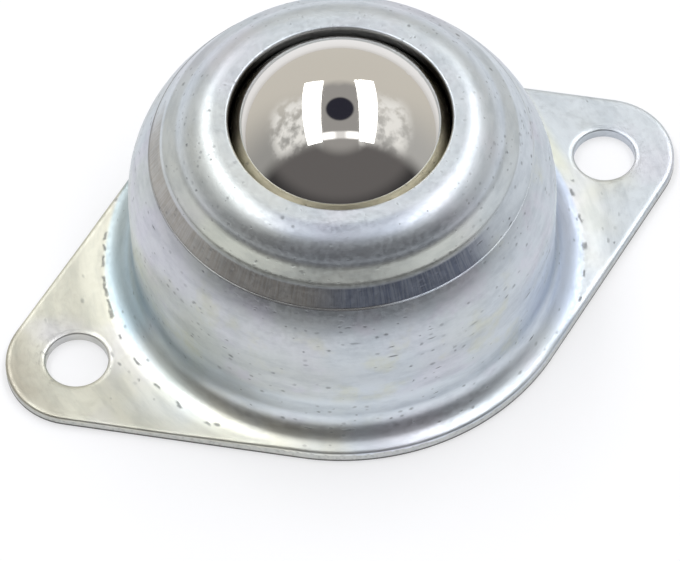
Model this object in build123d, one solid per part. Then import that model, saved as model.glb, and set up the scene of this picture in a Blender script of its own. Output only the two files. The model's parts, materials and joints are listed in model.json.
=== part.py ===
from build123d import *
import os
from math import acos, asin, atan2, cos, degrees, floor, pi, radians, sin, sqrt, tan

# Ball transfer unit: a pressed steel housing with a two-hole flange holds a steel ball,
# which rolls any way on a bed of small balls in a hardened cup.
# Millimetres, +Z up, origin in the middle of the flange's underside, holes along X.

# Balls
load_ball_diameter = 25.4
support_ball_diameter = 3.175
running_gap = 0.05  # between the load ball, the support balls and the cup
support_ball_spacing = 0.05  # least gap between support balls side by side
bed_top_angle = 80.0  # highest row of support balls, in degrees from straight down

# Cup
cup_wall = 1.5
cup_ground_gap = 0.2  # the cup's bottom above the mounting surface
cup_lip_height = 2.85  # the lip above the load ball's centre
cup_seat_gap = 0.02  # between the lip and the housing's band

# Housing: drawn from one sheet over the shape below, which is its inner side
sheet_thickness = 1.25
ball_stand = 5.1  # the load ball above the rim
rim_gap = 0.15  # between the load ball and the opening's lower edge
rim_land = 3.05  # flat rim from the opening to the shoulder
shoulder_slope = 65.0  # degrees from the mounting plane
ledge_rise = 0.51  # from the band's top up to the shoulder's foot
band_inset = 0.44  # the band's top inside the cup's outer wall
band_height = 1.93
band_entry = 0.8  # the band's foot outside the cup's outer wall
band_foot_height = 1.21  # the band's foot above the load ball's centre
dome_slope = 53.0  # where the dome leaves the band, degrees from the mounting plane
dome_clearance = 3.0  # between the cup and the dome's upright wall

# Bends of the housing, measured on its outside
rim_edge_radius = 0.35
shoulder_radius = 3.2
shoulder_foot_radius = 1.8
band_top_radius = 0.7
band_foot_radius = 0.3
dome_radius = 11.4
base_radius = 3.1
least_inner_radius = 0.2  # sharpest bend on the inside of the sheet
least_straight = 0.2  # shortest straight run between two bends

# Flange
hole_spacing = 60.0
hole_diameter = 6.4
ear_margin = 4.1  # metal around each hole
flange_margin = 2.45  # the flange's middle outside the dome's upright wall
trim_allowance = 2.0  # the blank outside the ears, before it is trimmed
flange_edge_radius = 0.4
hole_edge_radius = 0.5

# Sizes that follow from the ones above
ball_radius = load_ball_diameter / 2
support_radius = support_ball_diameter / 2
bed_radius = ball_radius + running_gap + support_radius
cup_inner_radius = bed_radius + support_radius + running_gap
cup_outer_radius = cup_inner_radius + cup_wall
centre_height = cup_ground_gap + cup_outer_radius
rim_height = centre_height + ball_radius - ball_stand
rim_underside = rim_height - sheet_thickness
lip_height = centre_height + cup_lip_height
opening_radius = sqrt(ball_radius**2 - (rim_underside - centre_height) ** 2) + rim_gap
wall_inner_radius = cup_outer_radius + dome_clearance
hole_radius = hole_diameter / 2
ear_radius = hole_radius + ear_margin
flange_radius = wall_inner_radius + sheet_thickness + flange_margin
blank_radius = hole_spacing / 2 + ear_radius + trim_allowance


def inner_corners():
    """Corners of the housing's inner side in the X-Z plane, from the opening to the blank's edge."""
    band_foot_z = centre_height + band_foot_height
    band_top_z = band_foot_z + band_height
    shoulder_x = opening_radius + rim_land
    shoulder_foot_z = band_top_z + ledge_rise
    shoulder_foot_x = shoulder_x + (rim_underside - shoulder_foot_z) / tan(radians(shoulder_slope))
    band_foot_x = cup_outer_radius + band_entry
    dome_z = band_foot_z - (wall_inner_radius - band_foot_x) * tan(radians(dome_slope))
    return [
        Vector(opening_radius, rim_underside),
        Vector(shoulder_x, rim_underside),
        Vector(shoulder_foot_x, shoulder_foot_z),
        Vector(cup_outer_radius - band_inset, band_top_z),
        Vector(band_foot_x, band_foot_z),
        Vector(wall_inner_radius, dome_z),
        Vector(wall_inner_radius, 0),
        Vector(blank_radius, 0),
    ]


def left_normal(start, end):
    """Unit vector square to the run from start to end, on its left."""
    run = (end - start).normalized()
    return Vector(-run.Y, run.X)


def shifted_corners(corners, distance):
    """The same corners moved to the left by a distance, each along its mitre."""
    normals = [left_normal(a, b) for a, b in zip(corners, corners[1:])]
    moved = [corners[0] + normals[0] * distance]
    for corner, before, after in zip(corners[1:], normals, normals[1:]):
        moved.append(corner + (before + after) * (distance / (1 + before.dot(after))))
    moved.append(corners[-1] + normals[-1] * distance)
    return moved


def inner_bend(outer_radius, before, corner, after):
    """Radius on the inside of the sheet: tighter where the sheet turns down, wider where it turns out."""
    turns_down = left_normal(before, corner).dot(after - corner) < 0
    change = -sheet_thickness if turns_down else sheet_thickness
    return max(outer_radius + change, least_inner_radius)


def bend_run(radius, before, corner, after):
    """Length that a bend takes from the straight run on each side of its corner."""
    turn = radians((corner - before).get_angle(after - corner))
    return radius * tan(turn / 2)


def fitted_bend(radius, before, corner, after, taken=0.0):
    """A bend's radius, limited by the straight run that leads into it, less what another bend takes of it."""
    room = (corner - before).length - taken - least_straight
    return min(radius, room / bend_run(1, before, corner, after))


def housing_section():
    """Half section of the drawn blank, one sheet thick all along."""
    inner = inner_corners()
    outer = shifted_corners(inner, sheet_thickness)
    foot_run = bend_run(shoulder_foot_radius, *outer[1:4])
    outer_bends = [
        fitted_bend(shoulder_radius, *outer[2::-1], taken=foot_run),
        shoulder_foot_radius,
        band_top_radius,
        band_foot_radius,
        fitted_bend(dome_radius, *outer[4:7]),
        base_radius,
    ]
    inner_bends = [inner_bend(bend, *inner[i : i + 3]) for i, bend in enumerate(outer_bends)]
    outer_line = FilletPolyline(inner[0], *outer, radius=[rim_edge_radius, *outer_bends])
    inner_line = FilletPolyline(*inner, radius=inner_bends)
    blank_edge = Line(outer[-1], inner[-1])
    return Plane.XZ * make_face(Curve() + [outer_line, inner_line, blank_edge])


def flange_outline():
    """Diamond outline: a round middle and two round ears, joined by their common tangents."""
    tangent_angle = degrees(acos((flange_radius - ear_radius) / (hole_spacing / 2)))
    ear = CenterArc((hole_spacing / 2, 0), ear_radius, -tangent_angle, 2 * tangent_angle)
    middle = CenterArc((0, 0), flange_radius, tangent_angle, 180 - 2 * tangent_angle)
    right_half = Curve() + [ear, Line(ear @ 1, middle @ 0), Line(ear @ 0, mirror(middle, Plane.XZ) @ 0)]
    return make_face(Curve() + [right_half, mirror(right_half, Plane.YZ), middle, mirror(middle, Plane.XZ)])


def upper_edges(sheet, outline):
    """Edges on top of the sheet that run along an outline drawn in the mounting plane."""
    found = []
    for edge in sheet.edges():
        middle = edge.position_at(0.5)
        along = outline.wire().distance_to((middle.X, middle.Y, 0)) < 1e-3
        if along and middle.Z > sheet_thickness - 1e-3:
            found.append(edge)
    return found


def housing():
    """Dome and flange, drawn from one sheet, trimmed and punched, with rounded upper edges."""
    outline = flange_outline()
    sheet = revolve(housing_section(), Axis.Z) & extrude(outline, rim_height)
    sheet = fillet(upper_edges(sheet, outline), flange_edge_radius)
    for x in (-hole_spacing / 2, hole_spacing / 2):
        hole = Pos(x, 0) * Circle(hole_radius)
        sheet -= extrude(hole, sheet_thickness)
        sheet = fillet(upper_edges(sheet, hole), hole_edge_radius)
    return sheet


def band_radius(height):
    """Radius of the housing's band on its inner side, at a height."""
    top, foot = inner_corners()[3:5]
    return top.X + (foot.X - top.X) * (top.Y - height) / (top.Y - foot.Y)


def ball_cup():
    """Hemispherical race with a straight lip, whose outer corner seats in the housing's band."""
    top, foot = inner_corners()[3:5]
    band_lean = (foot.X - top.X) / (top.Y - foot.Y)
    seat_shift = cup_seat_gap / cos(atan2(foot.X - top.X, top.Y - foot.Y))
    lip_radius = band_radius(lip_height) - seat_shift
    seat_height = lip_height - (cup_outer_radius - lip_radius) / band_lean
    inner_arc = CenterArc((0, centre_height), cup_inner_radius, -90, 90)
    outer_arc = CenterArc((0, centre_height), cup_outer_radius, -90, 90)
    lip = Polyline(
        inner_arc @ 1,
        (cup_inner_radius, lip_height),
        (lip_radius, lip_height),
        (cup_outer_radius, seat_height),
        outer_arc @ 1,
    )
    pole = Line(inner_arc @ 0, outer_arc @ 0)
    return revolve(Plane.XZ * make_face(Curve() + [inner_arc, lip, outer_arc, pole]), Axis.Z)


def load_ball():
    """The ball that carries the load."""
    return Pos(0, 0, centre_height) * Sphere(ball_radius)


def support_ball_rows():
    """Rows of support balls from the cup's bottom up, each row a list of balls."""
    pitch = support_ball_diameter + support_ball_spacing
    row_step = asin(pitch / bed_radius)
    rows = [[Pos(0, 0, centre_height - bed_radius) * Sphere(support_radius)]]
    for index in range(1, 1 + floor(radians(bed_top_angle) / row_step)):
        ring_radius = bed_radius * sin(index * row_step)
        ring_height = centre_height - bed_radius * cos(index * row_step)
        # as many balls as the ring holds; the first ring holds just six
        count = floor(pi / asin(pitch / 2 / ring_radius) + 1e-6)
        ring = Pos(0, 0, ring_height) * PolarLocations(ring_radius, count, degrees(index * row_step))
        rows.append([place * Sphere(support_radius) for place in ring])
    return rows


os.makedirs("parts", exist_ok=True)
export_step(housing(), "parts/housing.step")
export_step(ball_cup(), "parts/ball_cup.step")
export_step(load_ball(), "parts/load_ball.step")
for number, row in enumerate(support_ball_rows(), start=1):
    export_step(Compound(row), f"parts/support_balls_row_{number}.step")
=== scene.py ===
"""Looks of a ball castor: a zinc-plated pressed housing, a mirror-polished ball and its bed of small balls.

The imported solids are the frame. The housing is drawn again here as one fine skin, so that its bends, punched
edges and reflections are smooth; every other solid keeps its own mesh and gets a finish made of nodes.
"""

import json
import logging
from dataclasses import dataclass
from enum import Enum, auto
from math import acos, atan2, cos, radians, sin, sqrt, tan
from typing import Any, Dict, List, Optional, Sequence, Tuple, Union

import bmesh
import bpy
import numpy as np
from mathutils import Matrix, Vector

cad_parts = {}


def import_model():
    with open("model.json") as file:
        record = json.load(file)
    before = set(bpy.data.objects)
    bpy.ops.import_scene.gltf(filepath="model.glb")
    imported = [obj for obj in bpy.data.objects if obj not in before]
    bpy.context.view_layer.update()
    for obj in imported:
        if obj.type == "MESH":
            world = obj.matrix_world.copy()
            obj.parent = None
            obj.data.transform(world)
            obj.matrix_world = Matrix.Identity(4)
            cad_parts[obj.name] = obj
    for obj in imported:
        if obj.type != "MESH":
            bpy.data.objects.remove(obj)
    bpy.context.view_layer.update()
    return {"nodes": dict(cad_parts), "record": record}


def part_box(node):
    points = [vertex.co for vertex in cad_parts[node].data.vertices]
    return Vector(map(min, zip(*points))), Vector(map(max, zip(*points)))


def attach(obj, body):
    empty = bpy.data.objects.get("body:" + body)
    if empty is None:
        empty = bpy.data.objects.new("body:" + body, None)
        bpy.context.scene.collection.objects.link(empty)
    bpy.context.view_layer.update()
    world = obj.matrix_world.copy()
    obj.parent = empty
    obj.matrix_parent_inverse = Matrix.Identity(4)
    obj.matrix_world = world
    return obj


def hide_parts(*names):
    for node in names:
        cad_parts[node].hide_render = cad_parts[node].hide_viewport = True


LOG = logging.getLogger("ball_castor")

MM = 0.001
IMAGE_WIDTH = 680
SENSOR_WIDTH_MM = 36.0
CUT_EDGE = "cut_edge"  # vertex attribute, 1 on the sheet's cut face
WELD_DISTANCE = 0.0005 * MM
CREASE_DEGREES = 40.0

Array = np.ndarray
Colour = Tuple[float, float, float, float]
Span = Tuple[float, float]  # where a mask starts and where it ends
Zone = Tuple[float, float, float]  # a mask's centre, half width and softness
Socket = bpy.types.NodeSocket
Value = Union[Socket, float, Sequence[float]]


class Side(Enum):
    """Sides of the object as the camera sees it, each with its sign along the camera's right."""

    LEFT = -1.0
    RIGHT = 1.0


class Graph:
    """Adds nodes to a tree and links them."""

    def __init__(self, tree: bpy.types.NodeTree) -> None:
        """Wraps a node tree.

        Args:
            tree: the tree that new nodes go into.
        """
        self.tree = tree

    def node(self, kind: str, inputs: Optional[Dict[Any, Value]] = None, **options: Any) -> bpy.types.Node:
        """Adds one node.

        Args:
            kind: the node's class name.
            inputs: value or source socket for each input, by name or number.
            options: properties of the node itself.

        Returns:
            The new node.
        """
        made = self.tree.nodes.new(kind)
        for name, option in options.items():
            setattr(made, name, option)
        for key, value in (inputs or {}).items():
            self.feed(made.inputs[key], value)
        return made

    def feed(self, socket: Socket, value: Value) -> None:
        """Sets an input socket, or links it where the value is another socket."""
        if isinstance(value, bpy.types.NodeSocket):
            self.tree.links.new(value, socket)
        else:
            socket.default_value = value

    def math(self, operation: str, first: Value, second: Value = 0.0, third: Value = 0.0) -> Socket:
        """Adds a Math node and returns its result."""
        inputs = {0: first, 1: second, 2: third}
        return self.node("ShaderNodeMath", inputs, operation=operation).outputs[0]

    def times(self, first: Value, *others: Value) -> Socket:
        """Multiplies values and returns their product."""
        product = first
        for other in others:
            product = self.math("MULTIPLY", product, other)
        return product

    def vector(self, operation: str, first: Value, second: Value) -> Socket:
        """Adds a Vector Math node and returns its vector."""
        inputs = {0: first, 1: second}
        return self.node("ShaderNodeVectorMath", inputs, operation=operation).outputs["Vector"]

    def dot(self, first: Value, second: Value) -> Socket:
        """Adds a dot product and returns its value."""
        inputs = {0: first, 1: second}
        return self.node("ShaderNodeVectorMath", inputs, operation="DOT_PRODUCT").outputs["Value"]

    def span(
        self, value: Value, low: float, high: float, to_low: float = 0.0, to_high: float = 1.0
    ) -> Socket:
        """Adds a smooth Map Range node, clamped at both ends, and returns its result."""
        inputs = {"Value": value, "From Min": low, "From Max": high, "To Min": to_low, "To Max": to_high}
        return self.node("ShaderNodeMapRange", inputs, interpolation_type="SMOOTHSTEP").outputs["Result"]

    def hump(self, value: Value, centre: float, half_width: float, softness: float) -> Socket:
        """A mask that is 1 near a centre and falls to 0 past its half width.

        Args:
            value: the coordinate that is tested.
            centre: where the mask is full.
            half_width: distance at which the mask starts to fall.
            softness: distance over which it falls.

        Returns:
            The mask's socket.
        """
        away = self.math("ABSOLUTE", self.math("SUBTRACT", value, centre))
        return self.span(away, half_width, half_width + softness, 1.0, 0.0)

    def mix(self, factor: Value, first: Value, second: Value, blend: str = "MIX") -> Socket:
        """Adds a colour Mix node and returns its result."""
        made = self.node("ShaderNodeMix", data_type="RGBA", blend_type=blend)
        colours = [socket for socket in made.inputs if socket.type == "RGBA"]
        self.feed(made.inputs["Factor"], factor)
        self.feed(colours[0], first)
        self.feed(colours[1], second)
        return next(socket for socket in made.outputs if socket.type == "RGBA")

    def noise(self, vector: Value, scale: float, detail: float = 3.0, roughness: float = 0.5) -> Socket:
        """Adds a Noise Texture node and returns its value."""
        inputs = {"Vector": vector, "Scale": scale, "Detail": detail, "Roughness": roughness}
        return self.node("ShaderNodeTexNoise", inputs).outputs["Fac"]


def grey(level: float) -> Colour:
    """A neutral colour of one level."""
    return (level, level, level, 1.0)


def new_group(name: str, inputs: Dict[str, Tuple[str, Any]], outputs: Dict[str, str]) -> bpy.types.NodeTree:
    """Starts a shader node group with its sockets.

    Args:
        name: the group's name.
        inputs: socket type and default for each input, by name.
        outputs: socket type for each output, by name.

    Returns:
        The new node group, with its Group Input and Group Output nodes.
    """
    group = bpy.data.node_groups.new(name, "ShaderNodeTree")
    for label, (kind, default) in inputs.items():
        socket = group.interface.new_socket(label, in_out="INPUT", socket_type=kind)
        socket.default_value = default
    for label, kind in outputs.items():
        group.interface.new_socket(label, in_out="OUTPUT", socket_type=kind)
    group.nodes.new("NodeGroupInput")
    group.nodes.new("NodeGroupOutput")
    return group


class NodeLibrary:
    """The node groups that the finishes share, each built once."""

    def __init__(self, wrap_radius: float = 20.0) -> None:
        """Builds the groups.

        Args:
            wrap_radius: radius in millimetres at which arc lengths around the axis are true.
        """
        self.round_group = self._round_group(wrap_radius)
        self.speck_group = self._speck_group()

    @staticmethod
    def _round_group(wrap_radius: float) -> bpy.types.NodeTree:
        """Node group that says where a point lies around the upright axis, in millimetres.

        Angle is measured from the front, so its cut lies at the back. Wrapped unrolls the surface: its first
        axis is the angle times the wrap radius, its second is radius less height, which grows from the rim
        to the flange.
        """
        group = new_group("round_coordinates", {}, {
            "Wrapped": "NodeSocketVector", "Angle": "NodeSocketFloat",
            "Radius": "NodeSocketFloat", "Height": "NodeSocketFloat", "Side": "NodeSocketFloat",
        })
        graph = Graph(group)
        place = graph.node("ShaderNodeTexCoord").outputs["Object"]
        axes = graph.node("ShaderNodeSeparateXYZ", {0: place}).outputs
        x, y, height = (graph.math("MULTIPLY", axis, 1.0 / MM) for axis in axes)
        angle = graph.math("ARCTAN2", x, graph.math("MULTIPLY", y, -1.0))
        radius = graph.math("SQRT", graph.math("MULTIPLY_ADD", x, x, graph.math("MULTIPLY", y, y)))
        down = graph.math("SUBTRACT", radius, height)
        along = graph.math("MULTIPLY", angle, wrap_radius)
        wrapped = graph.node("ShaderNodeCombineXYZ", {0: along, 1: down}).outputs[0]
        results = {"Wrapped": wrapped, "Angle": angle, "Radius": radius, "Height": height, "Side": x}
        for name, value in results.items():
            graph.feed(group.nodes["Group Output"].inputs[name], value)
        return group

    @staticmethod
    def _speck_group() -> bpy.types.NodeTree:
        """Node group of sparse specks, each stretched along the first axis of its vector.

        Every cell of a Voronoi pattern can hold one speck; the share of cells given by Amount shows it.
        """
        group = new_group("speck_field", {
            "Vector": ("NodeSocketVector", (0.0, 0.0, 0.0)), "Scale": ("NodeSocketFloat", 1.0),
            "Stretch": ("NodeSocketFloat", 1.0), "Amount": ("NodeSocketFloat", 0.2),
            "Size": ("NodeSocketFloat", 0.25),
        }, {"Mask": "NodeSocketFloat"})
        graph = Graph(group)
        given = group.nodes["Group Input"].outputs
        wobble = graph.node("ShaderNodeTexNoise", {"Vector": given["Vector"], "Scale": 1.7, "Detail": 2.0})
        shaken = graph.vector("MULTIPLY", wobble.outputs["Color"], (0.35, 0.25, 0.0))
        moved = graph.vector("ADD", given["Vector"], shaken)
        axes = graph.node("ShaderNodeSeparateXYZ", {0: moved}).outputs
        shorter = graph.math("DIVIDE", axes[0], given["Stretch"])
        squeezed = graph.node("ShaderNodeCombineXYZ", {0: shorter, 1: axes[1]}).outputs[0]
        cells = graph.node("ShaderNodeTexVoronoi", {"Vector": squeezed, "Scale": given["Scale"]},
                           voronoi_dimensions="2D").outputs
        draw = graph.node("ShaderNodeSeparateColor", {0: cells["Color"]}).outputs
        shown = graph.math("LESS_THAN", draw[0], given["Amount"])
        reach = graph.math("MULTIPLY", given["Size"], graph.math("MULTIPLY_ADD", draw[1], 0.8, 0.4))
        inside = graph.math("SUBTRACT", 1.0, graph.math("DIVIDE", cells["Distance"], reach))
        mask = graph.math("MULTIPLY", graph.span(inside, 0.0, 0.8), shown)
        strength = graph.math("MULTIPLY_ADD", draw[2], 0.6, 0.4)
        graph.feed(group.nodes["Group Output"].inputs["Mask"], graph.math("MULTIPLY", mask, strength))
        return group

    def around(self, graph: Graph) -> bpy.types.NodeOutputs:
        """Places the round coordinates in a material and returns their outputs."""
        return graph.node("ShaderNodeGroup", node_tree=self.round_group).outputs

    def specks(
        self, graph: Graph, vector: Value, scale: float, stretch: float, amount: Value, size: float
    ) -> Socket:
        """Places a field of specks in a material.

        Args:
            graph: the material's graph.
            vector: coordinates in millimetres.
            scale: cells to the millimetre.
            stretch: length of a speck against its width.
            amount: share of cells that show a speck.
            size: radius of a speck in cells.

        Returns:
            The specks' mask.
        """
        inputs = {"Vector": vector, "Scale": scale, "Stretch": stretch, "Amount": amount, "Size": size}
        return graph.node("ShaderNodeGroup", inputs, node_tree=self.speck_group).outputs["Mask"]


def new_material(name: str) -> Tuple[bpy.types.Material, Graph, bpy.types.Node]:
    """Starts a material.

    Args:
        name: the material's name.

    Returns:
        The material, its graph and its Principled BSDF node.
    """
    material = bpy.data.materials.new(name)
    material.use_nodes = True
    return material, Graph(material.node_tree), material.node_tree.nodes["Principled BSDF"]


@dataclass(frozen=True)
class Spot:
    """Sockets of a shaded point: its place in metres, lengths in millimetres and angles in radians."""

    place: Socket
    wrapped: Socket
    angle: Socket
    turn: Socket
    radius: Socket
    height: Socket
    side: Socket


class Texture(Enum):
    """Uneven masks that can break up a stain."""

    WARM = auto()
    VEIL = auto()
    PATCH = auto()
    MOTTLE = auto()
    HOLLOW = auto()
    DRIFT = auto()
    STREAKS = auto()
    RIDGE_SHADE = auto()
    CLOUD = auto()


@dataclass(frozen=True)
class Stain:
    """A tint of the plating, or a painted shade, highlight or reflection on it, laid where all its zones meet.
    A film multiplies the colour under it.
    """

    colour: Colour
    strength: float = 1.0
    texture: Optional[Texture] = None
    film: bool = False
    radius: Optional[Zone] = None
    height: Optional[Zone] = None
    turn: Optional[Zone] = None
    angle: Optional[Zone] = None
    side: Optional[Zone] = None

    def laid(self, graph: Graph, spot: Spot, textures: Dict[Texture, Socket], under: Value) -> Socket:
        """Lays the stain.

        Args:
            graph: the material's graph.
            spot: the shaded point.
            textures: the masks that break up stains.
            under: the colour so far.

        Returns:
            The colour with the stain.
        """
        pairs = ((spot.radius, self.radius), (spot.height, self.height), (spot.turn, self.turn),
                 (spot.angle, self.angle), (spot.side, self.side))
        masks = [graph.hump(socket, *zone) for socket, zone in pairs if zone]
        if self.texture:
            masks.append(textures[self.texture])
        blend = "MULTIPLY" if self.film else "MIX"
        return graph.mix(graph.times(self.strength, *masks), under, self.colour, blend)


CREAM: Colour = (0.64, 0.64, 0.56, 1.0)
LILAC: Colour = (0.63, 0.63, 0.70, 1.0)
PALE: Colour = (0.76, 0.82, 0.87, 1.0)
TEAL: Colour = (0.40, 0.51, 0.58, 1.0)
STRAW: Colour = (0.62, 0.63, 0.50, 1.0)
PEACH: Colour = (0.50, 0.47, 0.39, 1.0)
BLUE: Colour = (0.50, 0.58, 0.74, 1.0)
BROWN: Colour = (0.40, 0.38, 0.35, 1.0)
SLATE: Colour = (0.21, 0.24, 0.32, 1.0)

FLAT: Zone = (0.0, 1.6, 0.6)
LOW: Zone = (0.0, 3.0, 6.0)
DOME_HEIGHT: Zone = (34.0, 30.0, 1.8)
DOME_RADIUS: Zone = (40.0, 20.4, 1.0)
COVE: Zone = (23.4, 1.0, 0.5)
BAND: Zone = (20.55, 0.80, 0.20)
EAR_TIP: Zone = (-50.0, 14.5, 3.0)


@dataclass(frozen=True)
class ZincPlate:
    """Bright zinc on drawn steel sheet: passivation tints, painted shade, highlights and reflections, pits,
    draw marks and a grey cut edge with a painted contact shadow at its foot.
    """

    cool: Colour = (0.60, 0.65, 0.70, 1.0)
    olive: Colour = (0.48, 0.47, 0.38, 1.0)
    # shade and dim: painted shade on the opening's wall, at its sides and at its back
    shade: Colour = (0.06, 0.055, 0.045, 1.0)
    dim: Colour = (0.30, 0.31, 0.32, 1.0)
    pit: Colour = (0.16, 0.17, 0.18, 1.0)
    cut: Colour = (0.60, 0.61, 0.59, 1.0)
    # painted contact shadow at the foot of the cut face
    contact_shadow: Colour = grey(0.08)
    smooth: float = 0.36
    coarse: float = 0.44
    relief: float = 0.00003
    front: float = 0.41
    contact_shadow_height: Span = (0.25, 0.50)
    opening_radius: Span = (11.2, 11.4)
    pit_height: Span = (1.8, 3.4)
    dash_radius: Zone = (20.6, 2.0, 1.2)
    brush_height: Zone = (20.0, 1.0, 0.5)
    stains: Tuple[Stain, ...] = (
        Stain(CREAM, texture=Texture.WARM),
        Stain(LILAC, texture=Texture.VEIL),
        Stain(PEACH, texture=Texture.PATCH, side=EAR_TIP),
        Stain(grey(0.84), film=True, side=EAR_TIP),
        Stain(STRAW, 0.6, height=FLAT, angle=(1.75, 0.12, 0.20), side=(25.0, 0.3, 1.4)),
        Stain(LILAC, texture=Texture.MOTTLE, radius=DOME_RADIUS, height=DOME_HEIGHT),
        Stain(STRAW, texture=Texture.HOLLOW, radius=DOME_RADIUS, height=DOME_HEIGHT),
        # painted shade: bluish darkening in the base bend at the left front
        Stain(TEAL, texture=Texture.DRIFT, radius=(22.8, 0.9, 1.4), height=LOW, turn=(-1.2, 0.28, 0.32)),
        Stain(BLUE, 0.35, height=(8.0, 3.0, 3.0), angle=(0.95, 0.30, 0.25)),
        # painted shade: teal and blue darkening of the base bend's sides
        Stain(TEAL, 0.75, radius=COVE, height=LOW, turn=(-1.75, 0.45, 0.30)),
        Stain(BLUE, 0.75, radius=COVE, height=LOW, turn=(1.75, 0.45, 0.30)),
        # painted reflection: pale brightening of the lower wall facing the camera
        Stain(PALE, 0.85, height=(5.2, 1.0, 1.6), turn=(-0.05, 0.55, 0.45)),
        Stain(grey(0.95), 0.9, film=True, radius=DOME_RADIUS, height=DOME_HEIGHT),
        Stain(STRAW, 0.4, height=(22.2, 0.4, 0.4), turn=(-0.1, 0.7, 0.5)),
        # painted reflection: the band is painted dark, brown-grey on the left and slate on the right, broken
        # by brush streaks
        Stain(BROWN, texture=Texture.STREAKS, height=BAND, turn=(-0.9, 0.70, 0.35)),
        Stain(SLATE, texture=Texture.STREAKS, height=BAND, turn=(0.36, 0.28, 0.34)),
        # painted shade: dims the ridge's highlight except where it glints
        Stain(grey(0.20), texture=Texture.RIDGE_SHADE, radius=(19.31, 0.07, 0.03), height=(19.62, 0.13, 0.06)),
        # painted shade: dims the shoulder's highlight where it faces the camera
        Stain((0.72, 0.72, 0.78, 1.0), 0.8, film=True, radius=(13.9, 0.5, 0.8), turn=(0.0, 0.35, 0.45)),
        Stain((0.86, 0.87, 0.88, 1.0), texture=Texture.CLOUD, film=True),
        # painted highlight: brightens the lower dome wall all round
        Stain(grey(1.15), film=True, radius=(30.0, 10.0, 1.0), height=(6.0, 2.6, 2.2)),
        # painted highlight: brightens the flange strip at the left front
        Stain(grey(1.28), film=True, radius=(24.2, 0.8, 0.6), height=FLAT, turn=(-0.45, 0.75, 0.35)),
    )
    die_ring: Zone = (24.85, 0.03, 0.20)
    die_height: Span = (2.0, 3.0)
    die_softness: float = 0.016
    die_marks: Tuple[Tuple[float, float], ...] = (
        (-2.10, 0.012), (-2.04, 0.008), (-1.97, 0.020), (-1.88, 0.007), (-1.83, 0.022), (-1.75, 0.018),
        (-1.70, 0.012), (-1.58, 0.006), (-1.44, 0.014), (-1.29, 0.008), (-1.16, 0.012), (-1.01, 0.006),
        (0.91, 0.006), (1.04, 0.008), (1.18, 0.009), (1.32, 0.011), (1.46, 0.012),
    )

    def build(self, library: NodeLibrary) -> bpy.types.Material:
        """Makes the material.

        Args:
            library: the shared node groups.

        Returns:
            The material.
        """
        material, graph, shader = new_material("zinc_plate")
        place = graph.node("ShaderNodeTexCoord").outputs["Object"]
        around = library.around(graph)
        turn = graph.math("ADD", around["Angle"], self.front)
        spot = Spot(place, around["Wrapped"], around["Angle"], turn, around["Radius"], around["Height"],
                    around["Side"])
        marks = self._marks(graph, library, spot)
        cut_edge = graph.node("ShaderNodeAttribute", attribute_name=CUT_EDGE).outputs["Fac"]

        marked = graph.mix(marks, self._tint(graph, spot), self.pit)
        grain = graph.noise(place, 2600.0, 2.0)
        torn = graph.mix(graph.span(grain, 0.45, 0.75, 0.0, 0.35), self.cut, self.pit)
        colour = graph.mix(graph.times(cut_edge, 0.8), marked, torn)
        # painted contact shadow: the cut face is painted near black towards its foot
        contact_shadow = graph.times(cut_edge, graph.span(spot.height, *self.contact_shadow_height, 0.95, 0.0))
        graph.feed(shader.inputs["Base Color"], graph.mix(contact_shadow, colour, self.contact_shadow))

        spangle = graph.noise(place, 2100.0, 2.0, 0.6)
        rough = graph.span(spangle, 0.36, 0.64, self.smooth, self.coarse)
        rough = graph.math("MULTIPLY_ADD", marks, 0.25, rough)
        graph.feed(shader.inputs["Roughness"], graph.math("MULTIPLY_ADD", cut_edge, 0.12, rough))
        shader.inputs["Metallic"].default_value = 1.0

        height = self._relief(graph, spot, marks)
        bump = graph.node("ShaderNodeBump", {"Height": height, "Strength": 0.6, "Distance": self.relief})
        graph.feed(shader.inputs["Normal"], bump.outputs["Normal"])
        return material

    def _textures(self, graph: Graph, spot: Spot) -> Dict[Texture, Socket]:
        """The masks that break up the stains."""
        lean = graph.span(spot.side, -32.0, 16.0, 0.34, -0.10)
        warm = graph.span(graph.math("ADD", graph.noise(spot.place, 55.0, 3.0, 0.55), lean), 0.47, 0.75)
        veiled = graph.vector("ADD", spot.place, (0.31, 0.17, 0.05))
        drifting = graph.vector("ADD", spot.place, (0.07, 0.53, 0.29))
        mottle = graph.noise(spot.place, 170.0, 4.0, 0.6)
        streaked = graph.vector("MULTIPLY", spot.wrapped, (5.0, 0.2, 0.0))
        clouded = graph.vector("MULTIPLY", spot.wrapped, (0.22, 0.55, 0.0))
        # where the ridge keeps its highlight; elsewhere the ridge gets painted shade
        ridge_glint_left = graph.span(spot.turn, -0.45, -0.80, 0.0, 0.5)
        ridge_glint = graph.math("MAXIMUM", graph.span(spot.turn, 0.10, 0.40), ridge_glint_left)
        return {
            Texture.WARM: graph.times(warm, graph.span(spot.height, 2.2, 4.0, 1.0, 0.35)),
            Texture.VEIL: graph.span(graph.noise(veiled, 80.0, 3.0), 0.50, 0.70, 0.0, 0.6),
            Texture.PATCH: graph.span(graph.noise(veiled, 160.0, 2.0), 0.40, 0.60, 0.3, 0.8),
            Texture.MOTTLE: graph.span(mottle, 0.52, 0.68, 0.0, 0.7),
            Texture.HOLLOW: graph.span(mottle, 0.48, 0.30, 0.0, 0.5),
            Texture.DRIFT: graph.span(graph.noise(drifting, 60.0, 2.0), 0.36, 0.60, 0.4, 1.0),
            Texture.STREAKS: graph.span(graph.noise(streaked, 1.0, 3.0, 0.6), 0.35, 0.65, 0.70, 1.0),
            Texture.RIDGE_SHADE: graph.math("SUBTRACT", 1.0, ridge_glint),
            Texture.CLOUD: graph.span(graph.noise(clouded, 1.0, 4.0, 0.65), 0.42, 0.66, 0.0, 0.9),
        }

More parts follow.
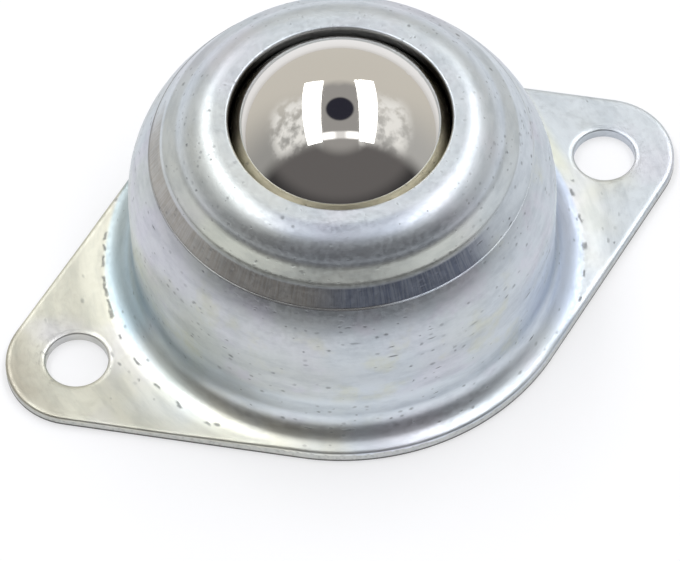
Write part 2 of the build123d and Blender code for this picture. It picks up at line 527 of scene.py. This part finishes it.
    def _tint(self, graph: Graph, spot: Spot) -> Socket:
        """Colour of the plating: cool zinc under its stains and its painted shade, highlights and reflections,
        with the opening's punched wall on top.

        The wall is olive at the front; at the sides it is painted dark and at the back painted dim, a painted
        shade of the gap round the ball.
        """
        textures = self._textures(graph, spot)
        colour: Value = self.cool
        for stain in self.stains:
            colour = stain.laid(graph, spot, textures, colour)
        # painted shade: the wall turns dark at the sides and dim at the back
        facing = graph.math("COSINE", spot.turn)
        wall = graph.mix(graph.span(facing, 0.0, 0.5), self.shade, self.olive)
        wall = graph.mix(graph.span(facing, -0.55, -0.9), wall, self.dim)
        return graph.mix(graph.span(spot.radius, *self.opening_radius, 1.0, 0.0), colour, wall)

    def _marks(self, graph: Graph, library: NodeLibrary, spot: Spot) -> Socket:
        """Dark marks: round pits, draw dashes along the dome and a broken die ring on the flange."""
        crowd = graph.span(graph.noise(spot.wrapped, 0.14, 3.0), 0.40, 0.64)
        crowd = graph.times(crowd, graph.span(spot.height, *self.pit_height, 0.35, 1.0))
        share = graph.math("MULTIPLY_ADD", crowd, 0.38, 0.03)
        pits = library.specks(graph, spot.wrapped, 1.1, 1.2, share, 0.30)
        deep = library.specks(graph, spot.wrapped, 0.6, 1.3, graph.times(crowd, 0.16), 0.19)
        dashes = library.specks(graph, spot.wrapped, 1.0, 4.0, graph.times(crowd, 0.22), 0.17)
        dashes = graph.times(dashes, graph.hump(spot.radius, *self.dash_radius), 0.8)
        marks = graph.math("MAXIMUM", graph.times(pits, 0.5), graph.times(deep, 0.7))
        marks = graph.math("MAXIMUM", marks, dashes)
        return graph.math("MAXIMUM", marks, graph.times(self._die_marks(graph, spot), 0.6))

    def _die_marks(self, graph: Graph, spot: Spot) -> Socket:
        """Short marks that the die struck in a ring beside the base bend: angles and half lengths."""
        shake = graph.noise(spot.wrapped, 0.9, 2.0)
        radius = graph.math("MULTIPLY_ADD", shake, 0.9, graph.math("SUBTRACT", spot.radius, 0.45))
        angle = graph.math("MULTIPLY_ADD", graph.noise(spot.wrapped, 2.2, 2.0), 0.02, spot.angle)
        struck: Value = 0.0
        for middle, half in self.die_marks:
            struck = graph.math("ADD", struck, graph.hump(angle, middle, half, self.die_softness))
        flat = graph.span(spot.height, *self.die_height, 1.0, 0.0)
        return graph.times(graph.hump(radius, *self.die_ring), flat, struck)

    def _relief(self, graph: Graph, spot: Spot, marks: Socket) -> Socket:
        """Height of the plating: fine grain, slow waves, upright brushing on the band and sunken marks."""
        grain = graph.noise(spot.place, 1500.0, 3.0, 0.6)
        waves = graph.noise(spot.place, 260.0, 2.0)
        streaked = graph.vector("MULTIPLY", spot.wrapped, (4.0, 0.25, 0.0))
        brush = graph.times(graph.noise(streaked, 1.0, 2.0), graph.hump(spot.height, *self.brush_height))
        height = graph.math("MULTIPLY_ADD", grain, 0.04, graph.times(waves, 0.6))
        height = graph.math("MULTIPLY_ADD", brush, 0.5, height)
        return graph.math("MULTIPLY_ADD", marks, -1.2, height)


@dataclass(frozen=True)
class PolishedSteel:
    """Mirror-polished ball: a faint haze and hair lines."""

    colour: Colour = (0.74, 0.72, 0.69, 1.0)
    haze: float = 0.05

    def build(self) -> bpy.types.Material:
        """Makes the material."""
        material, graph, shader = new_material("polished_steel")
        place = graph.node("ShaderNodeTexCoord").outputs["Object"]
        cloud = graph.noise(place, 120.0, 3.0)
        colour = graph.mix(cloud, self.colour, tuple(0.97 * level for level in self.colour[:3]) + (1.0,))
        graph.feed(shader.inputs["Base Color"], colour)
        graph.feed(shader.inputs["Roughness"], graph.span(cloud, 0.4, 0.7, 0.4 * self.haze, self.haze))
        shader.inputs["Metallic"].default_value = 1.0
        return material


@dataclass(frozen=True)
class RaceSteel:
    """Hardened cup and ground support balls: tumbled steel with a drifting temper tint."""

    name: str
    colour: Colour
    temper: Colour
    smooth: float
    coarse: float

    def build(self, library: NodeLibrary) -> bpy.types.Material:
        """Makes the material."""
        material, graph, shader = new_material(self.name)
        place = graph.node("ShaderNodeTexCoord").outputs["Object"]
        drift = graph.span(graph.noise(place, 140.0, 4.0), 0.38, 0.66)
        pits = library.specks(graph, library.around(graph)["Wrapped"], 1.2, 1.5, 0.12, 0.2)
        graph.feed(shader.inputs["Base Color"], graph.mix(drift, self.colour, self.temper))
        rough = graph.span(graph.noise(place, 420.0, 3.0), 0.35, 0.65, self.smooth, self.coarse)
        graph.feed(shader.inputs["Roughness"], graph.math("MULTIPLY_ADD", pits, 0.2, rough))
        shader.inputs["Metallic"].default_value = 1.0
        height = graph.math("MULTIPLY_ADD", pits, -1.0, graph.noise(place, 1800.0, 2.0))
        bump = graph.node("ShaderNodeBump", {"Height": height, "Strength": 0.25, "Distance": 0.00001})
        graph.feed(shader.inputs["Normal"], bump.outputs["Normal"])
        return material


def rounded_line(corners: Array, bends: Sequence[float], arc_step: float, run_points: int) -> Array:
    """Points along a line whose inner corners are rounded.

    Each corner gives way to an arc that starts its bend radius times the tangent of half the turn before it.
    Points on the straight runs crowd towards their ends, as the cosine of an even angle does.

    Args:
        corners: the line's corners, ends included.
        bends: one radius for each inner corner.
        arc_step: largest turn between two points of an arc, in degrees.
        run_points: points inside each straight run.

    Returns:
        The points, one row each.
    """
    crowd = (1.0 - np.cos(np.linspace(0.0, np.pi, run_points + 2)))[:, None] / 2.0
    pieces: List[Array] = []
    last = corners[0]
    for before, corner, after, bend in zip(corners, corners[1:], corners[2:], bends):
        come = (corner - before) / np.linalg.norm(corner - before)
        go = (after - corner) / np.linalg.norm(after - corner)
        turn = atan2(come[0] * go[1] - come[1] * go[0], float(come @ go))
        start = corner - come * bend * tan(abs(turn) / 2.0)
        pieces.append((last + (start - last) * crowd)[:-1])
        steps = np.linspace(0.0, turn, 2 + int(abs(turn) / radians(arc_step)))
        aside = np.array([-come[1], come[0]]) * np.sign(turn)
        centre = start + aside * bend
        arc = centre + bend * (np.outer(np.sin(np.abs(steps)), come) - np.outer(np.cos(steps), aside))
        pieces.append(arc[:-1])
        last = arc[-1]
    pieces.append(last + (corners[-1] - last) * crowd)
    return np.concatenate(pieces)


def mitred(corners: Array, distance: float) -> Array:
    """The corners of a line moved to its left by a distance, each along its mitre."""
    runs = np.diff(corners, axis=0)
    runs = runs / np.linalg.norm(runs, axis=1, keepdims=True)
    normals = np.stack([-runs[:, 1], runs[:, 0]], axis=1)
    before = np.concatenate([normals[:1], normals])
    after = np.concatenate([normals, normals[-1:]])
    share = distance / (1.0 + np.sum(before * after, axis=1, keepdims=True))
    return corners + (before + after) * share


@dataclass
class Housing:
    """Drawn sheet housing: stepped dome, diamond flange and two punched holes. Sizes in millimetres."""

    ball_radius: float
    ball_height: float
    rim_height: float
    cup_radius: float
    hole_reach: float
    hole_radius: float
    sheet: float = 1.25
    rim_gap: float = 0.15
    rim_land: float = 3.04
    rim_edge: float = 0.35
    shoulder_slope: float = 58.0
    ledge_rise: float = 0.92
    band_inset: float = 0.53
    band_height: float = 2.08
    band_entry: float = 0.8
    band_foot: float = 1.21
    dome_slope: float = 53.0
    dome_clearance: float = 3.0
    shoulder_bend: float = 4.2
    foot_bend: float = 1.6
    band_top_bend: float = 0.7
    ridge_width: float = 0.11
    ridge_tilt: float = 25.0
    ridge_bend: float = 0.05
    ridge_start: float = 0.8
    ridge_flare: float = 1.1
    dome_bend: float = 11.4
    base_bend: float = 3.1
    draw_in: float = 0.24
    draw_start: float = 23.5
    draw_reach: float = 28.0
    ear_margin: float = 4.1
    flange_margin: float = 2.75
    edge_roll: float = 0.65
    edge_depth: float = 0.3
    hole_roll: float = 0.7
    hole_depth: float = 0.25
    burr: float = 0.14
    least_bend: float = 0.2
    columns: int = 432
    outer_arc_step: float = 6.0
    outer_run_points: int = 4
    outer_bend_rows: int = 12
    inner_arc_step: float = 12.0
    inner_run_points: int = 1
    inner_bend_rows: int = 8
    edge_rows: int = 8
    cut_rows: int = 6
    hole_rows: int = 7
    hole_edge_rows: int = 9
    hole_wall_rows: int = 4
    flange_rows: int = 20
    row_crowding: float = 1.5
    block_columns: int = 12
    block_row: int = 6

    def __post_init__(self) -> None:
        """Works out the radii that follow from the sizes."""
        self.wall = self.cup_radius + self.dome_clearance
        self.bend_radius = self.wall + self.sheet + self.base_bend
        self.bend_height = self.sheet + self.base_bend
        self.flange_radius = self.wall + self.sheet + self.flange_margin
        self.ear_radius = self.hole_radius + self.ear_margin
        self.inner_ring = self.flange_radius - 2.0 * self.edge_roll
        self.theta = np.arange(self.columns) * 2.0 * np.pi / self.columns
        self.rays = np.stack([np.cos(self.theta), np.sin(self.theta)], axis=1)

    def corners(self) -> Array:
        """Corners of the sheet's inner side, from the opening down to the mounting plane."""
        under = self.rim_height - self.sheet
        opening = sqrt(self.ball_radius**2 - (under - self.ball_height) ** 2) + self.rim_gap
        shoulder = opening + self.rim_land
        foot_z = self.ball_height + self.band_foot
        top_z = foot_z + self.band_height
        step_z = top_z + self.ledge_rise
        step = shoulder + (under - step_z) / tan(radians(self.shoulder_slope))
        foot = self.cup_radius + self.band_entry
        dome_z = foot_z - (self.wall - foot) * tan(radians(self.dome_slope))
        band_top = self.cup_radius - self.band_inset
        return np.array([(opening, under), (shoulder, under), (step, step_z), (band_top, top_z),
                         (foot, foot_z), (self.wall, dome_z), (self.wall, 0.0)])

    def outer_line(self) -> Array:
        """Outer side of the section, from the opening's lower edge to the top of the base bend.

        At the band's foot stands a fine ridge: a narrow, tilted shelf that starts on the band a little above
        the foot, and a short upright face from the shelf's edge down to the dome's line.
        """
        inner = self.corners()
        outer = mitred(inner, self.sheet)
        outer[-1, 1] = self.bend_height + self.draw_in
        top, foot, dome = outer[3:6]
        down = (foot - top) / np.linalg.norm(foot - top)
        shelf_in = foot - down * self.ridge_start * self.ridge_width
        tilt = radians(self.ridge_tilt)
        shelf_out = shelf_in + self.ridge_width * np.array([cos(tilt), -sin(tilt)])
        slope = (dome - foot) / (dome - foot)[0]
        ridge_foot = foot + slope * (shelf_out - foot)[0] * self.ridge_flare
        line = np.concatenate([inner[:1], outer[:4], [shelf_in, shelf_out, ridge_foot], outer[5:]])
        bends = (self.rim_edge, self.shoulder_bend, self.foot_bend, self.band_top_bend, self.ridge_bend,
                 self.ridge_bend, self.ridge_bend, self.dome_bend)
        return rounded_line(line, bends, self.outer_arc_step, self.outer_run_points)

    def inner_line(self) -> Array:
        """Inner side of the section, from the top of the base bend up to the opening's lower edge."""
        inner = self.corners()
        inner[-1, 1] = self.bend_height
        bends = (self.dome_bend - self.sheet, self.sheet, self.least_bend,
                 self.foot_bend + self.sheet, self.shoulder_bend - self.sheet)
        return rounded_line(inner[::-1], bends, self.inner_arc_step, self.inner_run_points)

    def outline(self) -> Tuple[Array, Array]:
        """The flange's outline where each ray from the axis meets it.

        From the middle of the flange to an ear the outline is a round about the axis, a straight line that
        touches both rounds, and a round about the hole.

        Returns:
            Points and outward normals, one row for each ray.
        """
        fold = np.arctan2(np.abs(self.rays[:, 1]), np.abs(self.rays[:, 0]))
        lean = acos((self.flange_radius - self.ear_radius) / self.hole_reach)
        ear_end = atan2(self.ear_radius * sin(lean), self.hole_reach + self.ear_radius * cos(lean))
        inside = np.maximum(self.ear_radius**2 - (self.hole_reach * np.sin(fold)) ** 2, 0.0)
        ear = self.hole_reach * np.cos(fold) + np.sqrt(inside)
        line = self.flange_radius / np.cos(lean - fold)
        radius = np.where(fold > lean, self.flange_radius, np.where(fold > ear_end, line, ear))
        places = np.stack([radius * np.cos(fold), radius * np.sin(fold)], axis=1)
        about_hole = np.arctan2(places[:, 1], places[:, 0] - self.hole_reach)
        facing = np.where(fold > lean, fold, np.where(fold > ear_end, lean, about_hole))
        signs = np.where(self.rays < 0.0, -1.0, 1.0)
        return places * signs, np.stack([np.cos(facing), np.sin(facing)], axis=1) * signs

    def bend_rise(self, radius: Array, bend: float) -> Array:
        """Height of one side of the sheet: its base bend's arc, then flat; the draw lifts the upper side."""
        inside = np.clip(self.bend_radius - radius, 0.0, bend)
        lift = self.draw_rise(radius) if bend == self.base_bend else 0.0
        return self.bend_height - np.sqrt(bend**2 - inside**2) + lift

    def draw_rise(self, radius: Array) -> Array:
        """How far the draw lifts the flange beside the bend: a soft step, from its reach inwards."""
        share = np.clip((self.draw_reach - radius) / (self.draw_reach - self.draw_start), 0.0, 1.0)
        return self.draw_in * share**2 * (3.0 - 2.0 * share)

    def revolved(self, line: Array) -> Array:
        """Carries a section line round the axis: rows of the grid are its points."""
        ring = line[:, 0][:, None, None] * self.rays[None]
        lift = np.broadcast_to(line[:, 1][:, None, None], ring.shape[:2] + (1,))
        return np.concatenate([ring, lift], axis=2)

    def bend_rows(self, bend: float, count: int) -> Array:
        """Base bend from the upright wall to the ring where the flange starts, as a section line."""
        last = acos((self.bend_radius - self.inner_ring) / bend)
        reach = self.bend_radius - bend * np.cos(np.linspace(0.0, last, count))
        return np.stack([reach, self.bend_rise(reach, bend)], axis=1)

    def flange_grid(self, edge: Array, bend: float) -> Array:
        """One side of the flange, from its inner ring to an edge line, with rows that crowd at the bend.

        Args:
            edge: the line's points, one for each ray.
            bend: radius of the base bend on this side of the sheet.

        Returns:
            The grid.
        """
        share = np.linspace(0.0, 1.0, self.flange_rows + 1)[:, None, None] ** self.row_crowding
        ring = self.inner_ring * self.rays[None]
        return self._lifted(ring + (edge[None] - ring) * share, bend)

    def edge_grids(self) -> Tuple[Array, Array]:
        """The flange's rounded upper edge and its cut face.

        The round is a quadratic curve from the upper side to the cut face, so it leaves both without a
        crease. The cut face ends in a small slope under the sheet, where the shears broke the lower edge.

        Returns:
            The round's grid and the cut face's grid.
        """
        places, normals = self.outline()
        start = places - normals * self.edge_roll
        top = self.bend_rise(np.linalg.norm(places, axis=1), self.base_bend)
        start_z = self.bend_rise(np.linalg.norm(start, axis=1), self.base_bend)
        bottom = self.bend_rise(np.linalg.norm(places, axis=1), self.base_bend + self.sheet)
        first = np.column_stack([start, start_z])
        corner = np.column_stack([places, top])
        last = np.column_stack([places, top - self.edge_depth])
        t = np.linspace(0.0, 1.0, self.edge_rows)[:, None, None]
        rounding = (1 - t) ** 2 * first + 2 * t * (1 - t) * corner + t**2 * last
        foot = np.column_stack([places, bottom + self.burr])
        t = np.linspace(0.0, 1.0, self.cut_rows)[:, None, None]
        under = self._lifted((places - normals * self.burr)[None], self.base_bend + self.sheet)
        return rounding, np.concatenate([last + (foot - last) * t, under])

    def block_loop(self, grid: Array, middle: int) -> Array:
        """The closed loop of grid points round the part of a flange grid that a hole replaces."""
        around = (np.arange(-self.block_columns, self.block_columns + 1) + middle) % self.columns
        rows = np.arange(self.block_row, self.flange_rows + 1)
        inner = grid[self.block_row, around]
        outer = grid[self.flange_rows, around]
        return np.concatenate([inner[:-1], grid[rows, around[-1]][:-1], outer[::-1][:-1],
                               grid[rows, around[0]][::-1][:-1]])

    def hole_grid(self, upper: Array, lower: Array, middle: int) -> Array:
        """Metal round one hole: upper side, rounded edge, punched wall and lower side, as rings about it.

        Args:
            upper: the flange's upper grid.
            lower: the flange's lower grid.
            middle: the column that runs through the hole.

        Returns:
            The grid, one row for each ring, closed along its second axis.
        """
        loop_up, loop_down = self.block_loop(upper, middle)[:, :2], self.block_loop(lower, middle)[:, :2]
        centre = self.hole_reach * self.rays[middle]
        angle = np.arctan2(loop_up[:, 1] - centre[1], loop_up[:, 0] - centre[0])
        out = np.column_stack([np.cos(angle), np.sin(angle)])
        share = np.linspace(0.0, 1.0, self.hole_rows)[:, None, None]
        lip = centre + out * (self.hole_radius + self.hole_roll)
        rim = centre + out * self.hole_radius
        top = self._lifted(loop_up + (lip - loop_up) * share, self.base_bend)
        foot = self._lifted(rim + (loop_down - rim) * share, self.base_bend + self.sheet)
        turn = np.linspace(0.0, np.pi / 2.0, self.hole_edge_rows)[:, None]
        rounding = np.empty((self.hole_edge_rows,) + top.shape[1:])
        rounding[:, :, :2] = rim + (lip - rim) * (1.0 - np.sin(turn))[:, :, None]
        rounding[:, :, 2] = top[-1, :, 2] - self.hole_depth * (1.0 - np.cos(turn))
        share = np.linspace(0.0, 1.0, self.hole_wall_rows)[:, None, None]
        wall = rounding[-1] + (foot[0] - rounding[-1]) * share
        return np.concatenate([top[:-1], rounding[:-1], wall[:-1], foot])

    def _lifted(self, flat: Array, bend: float) -> Array:
        """Lifts level points to the side of the sheet whose base bend has the given radius."""
        rise = self.bend_rise(np.linalg.norm(flat, axis=2), bend)
        return np.concatenate([flat, rise[:, :, None]], axis=2)

    def build(self, material: bpy.types.Material) -> bpy.types.Object:
        """Makes the housing's skin as one closed mesh.

        Args:
            material: the zinc finish.

        Returns:
            The new object.
        """
        rounding, cut = self.edge_grids()
        upper = self.flange_grid(rounding[0][:, :2], self.base_bend)
        lower = self.flange_grid(cut[-1][:, :2], self.base_bend + self.sheet)
        skin = SkinMesh()
        skin.add(self.revolved(self.outer_line()))
        skin.add(self.revolved(self.bend_rows(self.base_bend, self.outer_bend_rows)))
        holes = (0, self.columns // 2)
        skin.add(upper, skip=self.block_cells(holes))
        skin.add(rounding)
        skin.add(cut, cut_edge=True)
        skin.add(lower, skip=self.block_cells(holes))
        skin.add(self.revolved(self.bend_rows(self.base_bend + self.sheet, self.inner_bend_rows)))
        skin.add(self.revolved(self.inner_line()))
        for middle in holes:
            skin.add(self.hole_grid(upper, lower, middle))
        return skin.finish("housing_skin", material)

    def block_cells(self, holes: Sequence[int]) -> Array:
        """Mask of the flange grid's cells that the holes' own grids replace."""
        cells = np.zeros((self.flange_rows, self.columns), bool)
        for middle in holes:
            around = (np.arange(-self.block_columns, self.block_columns) + middle) % self.columns
            cells[self.block_row:, around] = True
        return cells


class SkinMesh:
    """Gathers grids that are closed along their second axis and welds them into one mesh."""

    def __init__(self) -> None:
        """Starts with no grid."""
        self.points: List[Array] = []
        self.faces: List[Array] = []
        self.cut: List[Array] = []
        self.count = 0

    def add(self, grid: Array, skip: Optional[Array] = None, cut_edge: bool = False) -> None:
        """Adds one grid in millimetres.

        Args:
            grid: points by row and column.
            skip: mask of cells that are left open.
            cut_edge: whether the grid is the sheet's cut face.
        """
        rows, columns = grid.shape[:2]
        number = np.arange(rows * columns).reshape(rows, columns) + self.count
        after = np.roll(number, -1, axis=1)
        cells = np.stack([number[:-1], after[:-1], after[1:], number[1:]], axis=2)
        keep = np.ones(cells.shape[:2], bool) if skip is None else ~skip
        self.points.append(grid.reshape(-1, 3) * MM)
        self.faces.append(cells[keep])
        self.cut.append(np.full(rows * columns, float(cut_edge)))
        self.count += rows * columns

    def finish(self, name: str, material: bpy.types.Material) -> bpy.types.Object:
        """Welds the grids, turns the faces outwards and smooths them.

        Args:
            name: the object's name.
            material: its finish.

        Returns:
            The new object, at the origin.
        """
        mesh = bpy.data.meshes.new(name)
        mesh.from_pydata(np.concatenate(self.points), [], np.concatenate(self.faces).tolist())
        cut = mesh.attributes.new(CUT_EDGE, "FLOAT", "POINT")
        cut.data.foreach_set("value", np.concatenate(self.cut).astype(np.float32))
        welded = bmesh.new()
        welded.from_mesh(mesh)
        bmesh.ops.remove_doubles(welded, verts=welded.verts, dist=WELD_DISTANCE)
        loose = [vert for vert in welded.verts if not vert.link_faces]
        bmesh.ops.delete(welded, geom=loose, context="VERTS")
        bmesh.ops.recalc_face_normals(welded, faces=welded.faces)
        open_edges = sum(1 for edge in welded.edges if len(edge.link_faces) != 2)
        welded.to_mesh(mesh)
        welded.free()
        mesh.polygons.foreach_set("use_smooth", np.ones(len(mesh.polygons), bool))
        mesh.set_sharp_from_angle(angle=radians(CREASE_DEGREES))
        mesh.materials.append(material)
        LOG.info("%s: %d faces, %d open edges", name, len(mesh.polygons), open_edges)
        piece = bpy.data.objects.new(name, mesh)
        bpy.context.scene.collection.objects.link(piece)
        return piece


@dataclass(frozen=True)
class PhotoCamera:
    """The photo's camera, aimed near the flange's middle. Angles in degrees, offsets in pixels."""

    azimuth: float = -23.375
    elevation: float = 55.411
    roll: float = -1.707
    distance: float = 0.51723
    focal_pixels: float = 5000.0
    origin_right: float = 4.27
    origin_up: float = 18.36

    def axes(self) -> Tuple[Vector, Vector, Vector]:
        """The camera's right, up and back directions."""
        a, e, r = radians(self.azimuth), radians(self.elevation), radians(self.roll)
        back = Vector((sin(a) * cos(e), -cos(a) * cos(e), sin(e)))
        right = Vector((cos(a), sin(a), 0.0))
        up = back.cross(right)
        return right * cos(r) + up * sin(r), up * cos(r) - right * sin(r), back

    def build(self) -> bpy.types.Object:
        """Makes the camera and sets it as the scene's."""
        right, up, back = self.axes()
        per_pixel = self.distance / self.focal_pixels
        aim = (right * self.origin_right + up * self.origin_up) * per_pixel
        place = back * self.distance - aim
        lens = bpy.data.cameras.new("photo_camera")
        lens.sensor_fit = "HORIZONTAL"
        lens.sensor_width = SENSOR_WIDTH_MM
        lens.lens = self.focal_pixels * SENSOR_WIDTH_MM / IMAGE_WIDTH
        camera = bpy.data.objects.new("photo_camera", lens)
        turn = Matrix((right, up, back)).transposed()
        camera.matrix_world = Matrix.Translation(place) @ turn.to_4x4()
        bpy.context.scene.collection.objects.link(camera)
        bpy.context.scene.camera = camera
        return camera


@dataclass(frozen=True)
class Studio:
    """A pale floor under two long soft strips, inside a pale tent that is open and dim towards the camera.

    Lengths in metres. Directions are the camera's: ahead is away from it, along the floor.
    """

    camera: PhotoCamera
    strip_height: float = 1.2
    strip_aside: float = 0.524
    strip_length: float = 1.56
    strip_width: float = 0.36
    strip_ahead: float = 0.32
    strip_power: float = 6.0
    soft_light: float = 0.66
    floor_glow: float = 0.5
    floor_size: float = 3.0
    floor_drop: float = 0.00002
    floor_colour: Colour = (0.92, 0.925, 0.96, 1.0)
    floor_far: Colour = (0.66, 0.64, 0.60, 1.0)
    glow_reach: Span = (0.10, 0.50)
    wall_left: Colour = (0.40, 0.40, 0.39, 1.0)
    wall_right: Colour = (0.54, 0.54, 0.53, 1.0)
    wall_back: Colour = (0.74, 0.71, 0.65, 1.0)
    lit_cloth: Colour = (1.05, 1.05, 1.03, 1.0)
    roof: Colour = (0.40, 0.39, 0.38, 1.0)
    bar: Colour = grey(2.0)
    spot: Colour = (0.03, 0.03, 0.045, 1.0)
    dim_low: Colour = (0.05, 0.048, 0.050, 1.0)
    dim_high: Colour = (0.16, 0.152, 0.152, 1.0)

    def frame(self) -> Tuple[Vector, Vector]:
        """Directions right and ahead, level with the floor."""
        a = radians(self.camera.azimuth)
        return Vector((cos(a), sin(a), 0.0)), Vector((-sin(a), cos(a), 0.0))

    def build(self) -> None:
        """Makes the floor, the strips and the tent."""
        self._floor()
        for side in Side:
            self._strip(side)
        self._tent()

    def _floor(self) -> None:
        """A flat white floor: the camera and the metal see part of it glow, the rest keeps the shadow."""
        half = self.floor_size / 2.0
        corners = [(x * half, y * half, -self.floor_drop) for x, y in ((-1, -1), (1, -1), (1, 1), (-1, 1))]
        mesh = bpy.data.meshes.new("floor")
        mesh.from_pydata(corners, [], [(0, 1, 2, 3)])
        material, graph, shader = new_material("floor_matt")
        shader.inputs["Base Color"].default_value = self.floor_colour
        shader.inputs["Roughness"].default_value = 0.9
        path = graph.node("ShaderNodeLightPath").outputs
        mirrored = graph.math("MAXIMUM", path["Is Glossy Ray"], path["Is Transmission Ray"])
        seen = graph.math("MAXIMUM", path["Is Camera Ray"], mirrored)
        place = graph.node("ShaderNodeTexCoord").outputs["Object"]
        away = graph.node("ShaderNodeVectorMath", {0: place}, operation="LENGTH").outputs["Value"]
        # painted shade: the glow fades from white to a darker tone away from the middle
        glow = graph.mix(graph.span(away, *self.glow_reach), grey(1.0), self.floor_far)
        white = graph.node("ShaderNodeEmission", {"Color": glow}).outputs["Emission"]
        share = graph.math("MULTIPLY", seen, self.floor_glow)
        mixed = graph.node("ShaderNodeMixShader", {0: share, 1: shader.outputs["BSDF"], 2: white})
        graph.feed(material.node_tree.nodes["Material Output"].inputs["Surface"], mixed.outputs[0])
        mesh.materials.append(material)
        floor = bpy.data.objects.new("floor", mesh)
        bpy.context.scene.collection.objects.link(floor)

    def _strip(self, side: Side) -> None:
        """One soft strip light overhead, running ahead, on one side of the object."""
        right, ahead = self.frame()
        lamp = bpy.data.lights.new(f"strip_{side.name.lower()}", "AREA")
        lamp.shape = "RECTANGLE"
        lamp.size = self.strip_width
        lamp.size_y = self.strip_length
        lamp.energy = self.strip_power
        place = right * side.value * self.strip_aside + ahead * self.strip_ahead
        place.z += self.strip_height
        back = place.normalized()
        across = ahead.cross(back).normalized()
        along = back.cross(across)
        strip = bpy.data.objects.new(lamp.name, lamp)
        strip.matrix_world = Matrix.Translation(place) @ Matrix((across, along, back)).transposed().to_4x4()
        bpy.context.scene.collection.objects.link(strip)

    def _tent(self) -> None:
        """The world: white to the camera, soft light to matt surfaces, the tent's walls to shiny ones."""
        world = bpy.data.worlds.new("tent")
        bpy.context.scene.world = world
        world.use_nodes = True
        graph = Graph(world.node_tree)
        path = graph.node("ShaderNodeLightPath").outputs
        mirrored = graph.math("MAXIMUM", path["Is Glossy Ray"], path["Is Transmission Ray"])
        colour = graph.mix(mirrored, grey(self.soft_light), self._walls(graph))
        colour = graph.mix(path["Is Camera Ray"], colour, grey(1.0))
        background = world.node_tree.nodes["Background"]
        graph.feed(background.inputs["Color"], colour)

    def _walls(self, graph: Graph) -> Socket:
        """Colour of the tent by direction: pale back, grey sides and roof, dim towards the camera."""
        right, ahead = self.frame()
        way = graph.node("ShaderNodeTexCoord").outputs["Generated"]
        aside = graph.dot(way, tuple(right))
        onward = graph.dot(way, tuple(ahead))
        upward = graph.node("ShaderNodeSeparateXYZ", {0: way}).outputs[2]
        sides = graph.mix(graph.span(aside, -0.6, 0.6), self.wall_left, self.wall_right)
        colour = graph.mix(graph.span(onward, -0.1, 0.7), sides, self.wall_back)
        cloth = graph.span(graph.noise(way, 5.0, 3.0, 0.6), 0.40, 0.62, 0.1, 1.0)
        lit = graph.times(graph.span(upward, 0.35, 0.60), cloth, graph.hump(onward, 0.05, 0.30, 0.25))
        colour = graph.mix(lit, colour, self.lit_cloth)
        roof = graph.times(graph.hump(aside, 0.0, 0.25, 0.05), graph.span(upward, 0.70, 0.80))
        colour = graph.mix(roof, colour, self.roof)
        ends = graph.span(graph.math("ABSOLUTE", aside), 0.04, 0.14, 0.35, 1.0)
        bar = graph.times(roof, graph.hump(onward, -0.20, 0.035, 0.04), ends)
        colour = graph.mix(bar, colour, self.bar)
        inputs = {0: way, 1: tuple(ahead * 0.23 + Vector((0, 0, 0.973)))}
        away = graph.node("ShaderNodeVectorMath", inputs, operation="DISTANCE").outputs["Value"]
        colour = graph.mix(graph.span(away, 0.18, 0.22, 1.0, 0.0), colour, self.spot)
        opening = graph.times(graph.span(onward, -0.14, -0.40), graph.span(upward, 0.84, 0.94, 1.0, 0.0))
        dim = graph.mix(graph.span(upward, 0.15, 0.45), self.dim_low, self.dim_high)
        return graph.mix(opening, colour, dim)


def dress(node: bpy.types.Object, material: bpy.types.Material) -> None:
    """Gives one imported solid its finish."""
    for slot in node.material_slots:
        slot.material = material


def housing_sizes(record: Dict[str, Any]) -> Dict[str, float]:
    """Sizes of the housing that the frame knows, in millimetres.

    Args:
        record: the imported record.

    Returns:
        Values for the housing's first fields.
    """
    holes = next(mount for mount in record["mounts"] if mount["name"] == "screw_holes")["dims"]
    ball_low, ball_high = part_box("load_ball")
    return {
        "ball_radius": (ball_high.z - ball_low.z) / 2.0 / MM,
        "ball_height": (ball_high.z + ball_low.z) / 2.0 / MM,
        "rim_height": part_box("housing")[1].z / MM,
        "cup_radius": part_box("ball_cup")[1].x / MM,
        "hole_reach": holes["spacing_x_mm"] / 2.0,
        "hole_radius": holes["hole_r_mm"],
    }


def main() -> None:
    """Builds the housing's skin, dresses the solids and lights the scene."""
    logging.basicConfig(level=logging.INFO, format="%(name)s: %(message)s")
    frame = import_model()
    nodes, record = frame["nodes"], frame["record"]
    library = NodeLibrary()

    housing = Housing(**housing_sizes(record)).build(ZincPlate().build(library))
    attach(housing, "housing")
    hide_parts("housing")

    dress(nodes["load_ball"], PolishedSteel().build())
    cup_steel = RaceSteel("hardened_steel", (0.20, 0.20, 0.21, 1.0), (0.26, 0.24, 0.22, 1.0), 0.30, 0.42)
    ball_steel = RaceSteel("ground_steel", (0.60, 0.60, 0.61, 1.0), (0.55, 0.54, 0.52, 1.0), 0.12, 0.20)
    dress(nodes["ball_cup"], cup_steel.build(library))
    ground = ball_steel.build(library)
    for name, node in nodes.items():
        if name.startswith("support_balls"):
            dress(node, ground)
        LOG.info("solid %s dressed", name)

    camera = PhotoCamera()
    camera.build()
    Studio(camera).build()
    bpy.context.scene.view_settings.view_transform = "Standard"


if __name__ == "__main__":
    main()
